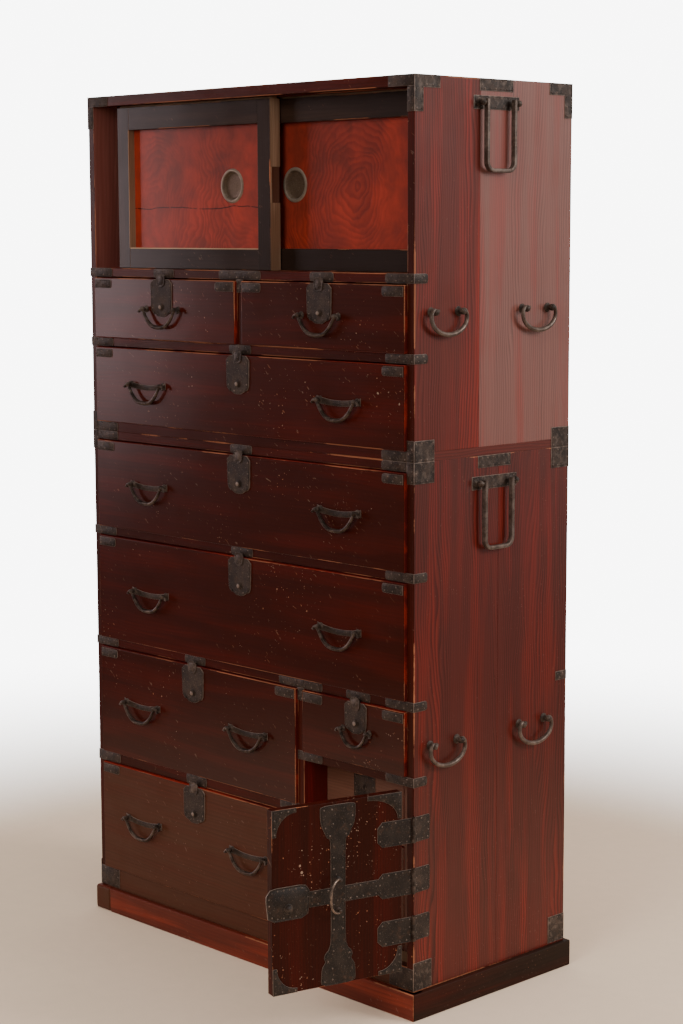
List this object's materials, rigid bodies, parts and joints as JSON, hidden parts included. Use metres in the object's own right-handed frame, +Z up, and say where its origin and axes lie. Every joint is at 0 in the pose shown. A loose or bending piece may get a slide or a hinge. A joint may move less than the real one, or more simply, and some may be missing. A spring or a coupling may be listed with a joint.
{
  "type": "isho clothing chest",
  "caption": "Tall two-section clothing chest of lacquered wood with drawers, sliding doors, an open safe door, iron lock plates, bails and carrying handles.",
  "frame": {"origin": "middle of the plinth's underside, on the floor, centred in the width and depth of the cases", "axes": "+X to the chest's right as seen from the front, +Y from front to back, +Z up"},
  "size_m": [0.9476, 0.7164, 1.677],
  "materials": {
    "case_wood": "red-brown lacquer over straight grain",
    "front_wood": "dark worn lacquer",
    "plinth_wood": "worn lacquer",
    "sliding_wood": "black lacquered frame round a red burl panel",
    "inner_wood": "satin",
    "door_wood": "dark worn lacquer",
    "iron": "blackened forged iron, worn on its edges"
  },
  "bodies": {
    "lower_case": {"plinth": "plinth_wood", "lower_case": "case_wood", "lower_case_irons": "iron", "hinge_pins": "iron"},
    "upper_case": {"upper_case": "case_wood", "upper_case_irons": "iron"},
    "sliding_door_left": {"sliding_door_left": "sliding_wood", "sliding_door_left_pull": "iron"},
    "sliding_door_right": {"sliding_door_right": "sliding_wood", "sliding_door_right_pull": "iron"},
    "safe_door": {"safe_door": "door_wood", "safe_door_irons": "iron"},
    "drawer_small_left": {"drawer_small_left": "front_wood", "drawer_small_left_irons": "iron"},
    "drawer_small_left_bail_1": {"drawer_small_left_bail_1": "iron"},
    "drawer_small_right": {"drawer_small_right": "front_wood", "drawer_small_right_irons": "iron"},
    "drawer_small_right_bail_1": {"drawer_small_right_bail_1": "iron"},
    "drawer_upper_wide": {"drawer_upper_wide": "front_wood", "drawer_upper_wide_irons": "iron"},
    "drawer_upper_wide_bail_1": {"drawer_upper_wide_bail_1": "iron"},
    "drawer_upper_wide_bail_2": {"drawer_upper_wide_bail_2": "iron"},
    "drawer_wide_top": {"drawer_wide_top": "front_wood", "drawer_wide_top_irons": "iron"},
    "drawer_wide_top_bail_1": {"drawer_wide_top_bail_1": "iron"},
    "drawer_wide_top_bail_2": {"drawer_wide_top_bail_2": "iron"},
    "drawer_wide_middle": {"drawer_wide_middle": "front_wood", "drawer_wide_middle_irons": "iron"},
    "drawer_wide_middle_bail_1": {"drawer_wide_middle_bail_1": "iron"},
    "drawer_wide_middle_bail_2": {"drawer_wide_middle_bail_2": "iron"},
    "drawer_left_high": {"drawer_left_high": "front_wood", "drawer_left_high_irons": "iron"},
    "drawer_left_high_bail_1": {"drawer_left_high_bail_1": "iron"},
    "drawer_left_high_bail_2": {"drawer_left_high_bail_2": "iron"},
    "drawer_left_low": {"drawer_left_low": "front_wood", "drawer_left_low_irons": "iron"},
    "drawer_left_low_bail_1": {"drawer_left_low_bail_1": "iron"},
    "drawer_left_low_bail_2": {"drawer_left_low_bail_2": "iron"},
    "drawer_right_small": {"drawer_right_small": "front_wood", "drawer_right_small_irons": "iron"},
    "drawer_right_small_bail_1": {"drawer_right_small_bail_1": "iron"},
    "safe_drawer_high": {"safe_drawer_high": "inner_wood", "safe_drawer_high_irons": "iron"},
    "safe_drawer_high_pull": {"safe_drawer_high_pull": "iron"},
    "safe_drawer_low": {"safe_drawer_low": "inner_wood", "safe_drawer_low_irons": "iron"},
    "safe_drawer_low_pull": {"safe_drawer_low_pull": "iron"},
    "safe_door_bail": {"safe_door_bail": "iron"},
    "upper_pole_handle_left": {"upper_pole_handle_left": "iron"},
    "upper_side_bail_left_front": {"upper_side_bail_left_front": "iron"},
    "upper_side_bail_left_back": {"upper_side_bail_left_back": "iron"},
    "upper_pole_handle_right": {"upper_pole_handle_right": "iron"},
    "upper_side_bail_right_front": {"upper_side_bail_right_front": "iron"},
    "upper_side_bail_right_back": {"upper_side_bail_right_back": "iron"},
    "lower_pole_handle_left": {"lower_pole_handle_left": "iron"},
    "lower_side_bail_left_front": {"lower_side_bail_left_front": "iron"},
    "lower_side_bail_left_back": {"lower_side_bail_left_back": "iron"},
    "lower_pole_handle_right": {"lower_pole_handle_right": "iron"},
    "lower_side_bail_right_front": {"lower_side_bail_right_front": "iron"},
    "lower_side_bail_right_back": {"lower_side_bail_right_back": "iron"}
  },
  "joints": [
    {"name": "upper_case_lift", "type": "slide", "parent": "lower_case", "child": "upper_case", "axis": [0, 0, 1], "range_m": [0, 0.15]},
    {"name": "safe_door_swing", "type": "hinge", "parent": "lower_case", "child": "safe_door", "pos_m": [0.4576, -0.2106, 0.25886], "axis": [0, 0, 1], "range_deg": [-75.3, 95]},
    {"name": "sliding_door_left_slide", "type": "slide", "parent": "upper_case", "child": "sliding_door_left", "axis": [1, 0, 0], "range_m": [-0.048, 0.37]},
    {"name": "sliding_door_right_slide", "type": "slide", "parent": "upper_case", "child": "sliding_door_right", "axis": [1, 0, 0], "range_m": [-0.418, 0]},
    {"name": "drawer_small_left_slide", "type": "slide", "parent": "upper_case", "child": "drawer_small_left", "axis": [0, -1, 0], "range_m": [0, 0.33]},
    {"name": "drawer_small_right_slide", "type": "slide", "parent": "upper_case", "child": "drawer_small_right", "axis": [0, -1, 0], "range_m": [0, 0.33]},
    {"name": "drawer_upper_wide_slide", "type": "slide", "parent": "upper_case", "child": "drawer_upper_wide", "axis": [0, -1, 0], "range_m": [0, 0.33]},
    {"name": "drawer_wide_top_slide", "type": "slide", "parent": "lower_case", "child": "drawer_wide_top", "axis": [0, -1, 0], "range_m": [0, 0.33]},
    {"name": "drawer_wide_middle_slide", "type": "slide", "parent": "lower_case", "child": "drawer_wide_middle", "axis": [0, -1, 0], "range_m": [0, 0.33]},
    {"name": "drawer_left_high_slide", "type": "slide", "parent": "lower_case", "child": "drawer_left_high", "axis": [0, -1, 0], "range_m": [0, 0.33]},
    {"name": "drawer_left_low_slide", "type": "slide", "parent": "lower_case", "child": "drawer_left_low", "axis": [0, -1, 0], "range_m": [0, 0.33]},
    {"name": "drawer_right_small_slide", "type": "slide", "parent": "lower_case", "child": "drawer_right_small", "axis": [0, -1, 0], "range_m": [0, 0.33]},
    {"name": "safe_drawer_high_slide", "type": "slide", "parent": "lower_case", "child": "safe_drawer_high", "axis": [0, -1, 0], "range_m": [0, 0.27]},
    {"name": "safe_drawer_low_slide", "type": "slide", "parent": "lower_case", "child": "safe_drawer_low", "axis": [0, -1, 0], "range_m": [0, 0.27]},
    {"name": "drawer_small_left_bail_1_swing", "type": "hinge", "parent": "drawer_small_left", "child": "drawer_small_left_bail_1", "pos_m": [-0.22325, -0.2242, 1.26], "axis": [-1, 0, 0], "range_deg": [0, 165]},
    {"name": "drawer_small_right_bail_1_swing", "type": "hinge", "parent": "drawer_small_right", "child": "drawer_small_right_bail_1", "pos_m": [0.22325, -0.2242, 1.26], "axis": [-1, 0, 0], "range_deg": [0, 165]},
    {"name": "drawer_upper_wide_bail_1_swing", "type": "hinge", "parent": "drawer_upper_wide", "child": "drawer_upper_wide_bail_1", "pos_m": [-0.272, -0.2242, 1.10933], "axis": [-1, 0, 0], "range_deg": [0, 165]},
    {"name": "drawer_upper_wide_bail_2_swing", "type": "hinge", "parent": "drawer_upper_wide", "child": "drawer_upper_wide_bail_2", "pos_m": [0.272, -0.2242, 1.10933], "axis": [-1, 0, 0], "range_deg": [0, 165]},
    {"name": "drawer_wide_top_bail_1_swing", "type": "hinge", "parent": "drawer_wide_top", "child": "drawer_wide_top_bail_1", "pos_m": [-0.272, -0.2242, 0.90923], "axis": [-1, 0, 0], "range_deg": [0, 165]},
    {"name": "drawer_wide_top_bail_2_swing", "type": "hinge", "parent": "drawer_wide_top", "child": "drawer_wide_top_bail_2", "pos_m": [0.272, -0.2242, 0.90923], "axis": [-1, 0, 0], "range_deg": [0, 165]},
    {"name": "drawer_wide_middle_bail_1_swing", "type": "hinge", "parent": "drawer_wide_middle", "child": "drawer_wide_middle_bail_1", "pos_m": [-0.272, -0.2242, 0.69214], "axis": [-1, 0, 0], "range_deg": [0, 165]},
    {"name": "drawer_wide_middle_bail_2_swing", "type": "hinge", "parent": "drawer_wide_middle", "child": "drawer_wide_middle_bail_2", "pos_m": [0.272, -0.2242, 0.69214], "axis": [-1, 0, 0], "range_deg": [0, 165]},
    {"name": "drawer_left_high_bail_1_swing", "type": "hinge", "parent": "drawer_left_high", "child": "drawer_left_high_bail_1", "pos_m": [-0.3035, -0.2242, 0.45848], "axis": [-1, 0, 0], "range_deg": [0, 165]},
    {"name": "drawer_left_high_bail_2_swing", "type": "hinge", "parent": "drawer_left_high", "child": "drawer_left_high_bail_2", "pos_m": [0.0185, -0.2242, 0.45848], "axis": [-1, 0, 0], "range_deg": [0, 165]},
    {"name": "drawer_left_low_bail_1_swing", "type": "hinge", "parent": "drawer_left_low", "child": "drawer_left_low_bail_1", "pos_m": [-0.3035, -0.2242, 0.21544], "axis": [-1, 0, 0], "range_deg": [0, 165]},
    {"name": "drawer_left_low_bail_2_swing", "type": "hinge", "parent": "drawer_left_low", "child": "drawer_left_low_bail_2", "pos_m": [0.0185, -0.2242, 0.21544], "axis": [-1, 0, 0], "range_deg": [0, 165]},
    {"name": "drawer_right_small_bail_1_swing", "type": "hinge", "parent": "drawer_right_small", "child": "drawer_right_small_bail_1", "pos_m": [0.315, -0.2232, 0.5108], "axis": [-1, 0, 0], "range_deg": [0, 165]},
    {"name": "safe_drawer_high_pull_swing", "type": "hinge", "parent": "safe_drawer_high", "child": "safe_drawer_high_pull", "pos_m": [0.2725, -0.156, 0.344], "axis": [-1, 0, 0], "range_deg": [0, 165]},
    {"name": "safe_drawer_low_pull_swing", "type": "hinge", "parent": "safe_drawer_low", "child": "safe_drawer_low_pull", "pos_m": [0.2725, -0.156, 0.1705], "axis": [-1, 0, 0], "range_deg": [0, 165]},
    {"name": "safe_door_bail_swing", "type": "hinge", "parent": "safe_door", "child": "safe_door_bail", "pos_m": [0.42404, -0.36059, 0.25886], "axis": [0, 0, 1], "range_deg": [-15, 120]},
    {"name": "upper_pole_handle_left_swing", "type": "hinge", "parent": "upper_case", "child": "upper_pole_handle_left", "pos_m": [-0.4662, 0, 1.635], "axis": [0, 1, 0], "range_deg": [0, 180]},
    {"name": "upper_side_bail_left_front_swing", "type": "hinge", "parent": "upper_case", "child": "upper_side_bail_left_front", "pos_m": [-0.467, -0.132, 1.271], "axis": [0, 1, 0], "range_deg": [0, 165]},
    {"name": "upper_side_bail_left_back_swing", "type": "hinge", "parent": "upper_case", "child": "upper_side_bail_left_back", "pos_m": [-0.467, 0.108, 1.271], "axis": [0, 1, 0], "range_deg": [0, 165]},
    {"name": "upper_pole_handle_right_swing", "type": "hinge", "parent": "upper_case", "child": "upper_pole_handle_right", "pos_m": [0.4662, 0, 1.635], "axis": [0, -1, 0], "range_deg": [0, 180]},
    {"name": "upper_side_bail_right_front_swing", "type": "hinge", "parent": "upper_case", "child": "upper_side_bail_right_front", "pos_m": [0.467, -0.132, 1.271], "axis": [0, -1, 0], "range_deg": [0, 165]},
    {"name": "upper_side_bail_right_back_swing", "type": "hinge", "parent": "upper_case", "child": "upper_side_bail_right_back", "pos_m": [0.467, 0.108, 1.271], "axis": [0, -1, 0], "range_deg": [0, 165]},
    {"name": "lower_pole_handle_left_swing", "type": "hinge", "parent": "lower_case", "child": "lower_pole_handle_left", "pos_m": [-0.4662, 0, 0.961], "axis": [0, 1, 0], "range_deg": [0, 180]},
    {"name": "lower_side_bail_left_front_swing", "type": "hinge", "parent": "lower_case", "child": "lower_side_bail_left_front", "pos_m": [-0.467, -0.132, 0.5], "axis": [0, 1, 0], "range_deg": [0, 165]},
    {"name": "lower_side_bail_left_back_swing", "type": "hinge", "parent": "lower_case", "child": "lower_side_bail_left_back", "pos_m": [-0.467, 0.108, 0.5], "axis": [0, 1, 0], "range_deg": [0, 165]},
    {"name": "lower_pole_handle_right_swing", "type": "hinge", "parent": "lower_case", "child": "lower_pole_handle_right", "pos_m": [0.4662, 0, 0.961], "axis": [0, -1, 0], "range_deg": [0, 180]},
    {"name": "lower_side_bail_right_front_swing", "type": "hinge", "parent": "lower_case", "child": "lower_side_bail_right_front", "pos_m": [0.467, -0.132, 0.5], "axis": [0, -1, 0], "range_deg": [0, 165]},
    {"name": "lower_side_bail_right_back_swing", "type": "hinge", "parent": "lower_case", "child": "lower_side_bail_right_back", "pos_m": [0.467, 0.108, 0.5], "axis": [0, -1, 0], "range_deg": [0, 165]}
  ]
}
